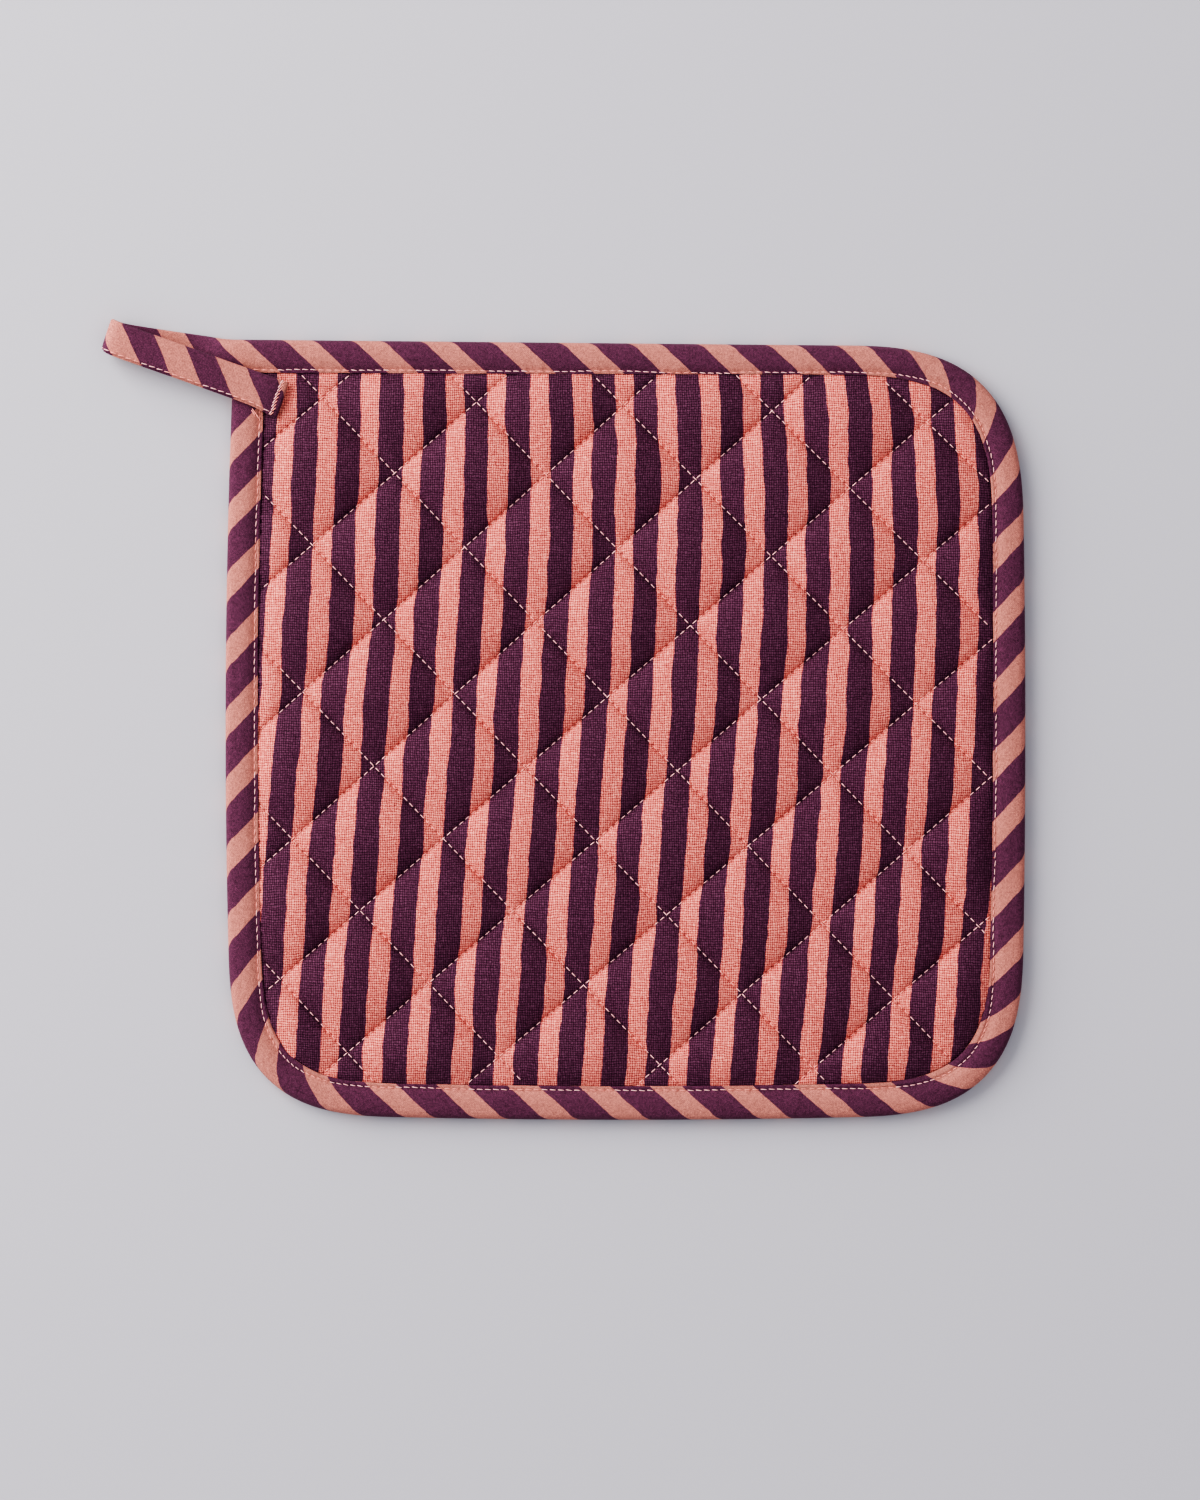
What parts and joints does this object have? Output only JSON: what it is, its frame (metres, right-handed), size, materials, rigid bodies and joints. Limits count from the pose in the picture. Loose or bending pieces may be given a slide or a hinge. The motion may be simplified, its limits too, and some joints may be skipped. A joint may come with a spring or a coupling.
{
  "type": "quilted pot holder",
  "caption": "Square quilted pot holder with rounded corners, a taped rim and a folded hanging loop, lying flat.",
  "frame": {"origin": "middle of the panel's underside, in the plane that it rests on", "axes": "+X to the right of the face and +Y up it, with the loop at the top left corner, +Z up out of the face"},
  "size_m": [0.2543, 0.2203, 0.008],
  "materials": {
    "panel_cloth": "matte plain-weave cotton with upright coral and aubergine stripes, sewn through in diamonds",
    "binding_tape": "matte plain-weave cotton tape cut on the bias from the same striped cloth, topstitched"
  },
  "bodies": {
    "root": {"quilted_panel": "panel_cloth", "edge_binding": "binding_tape", "hanging_loop": "binding_tape"}
  },
  "joints": []
}
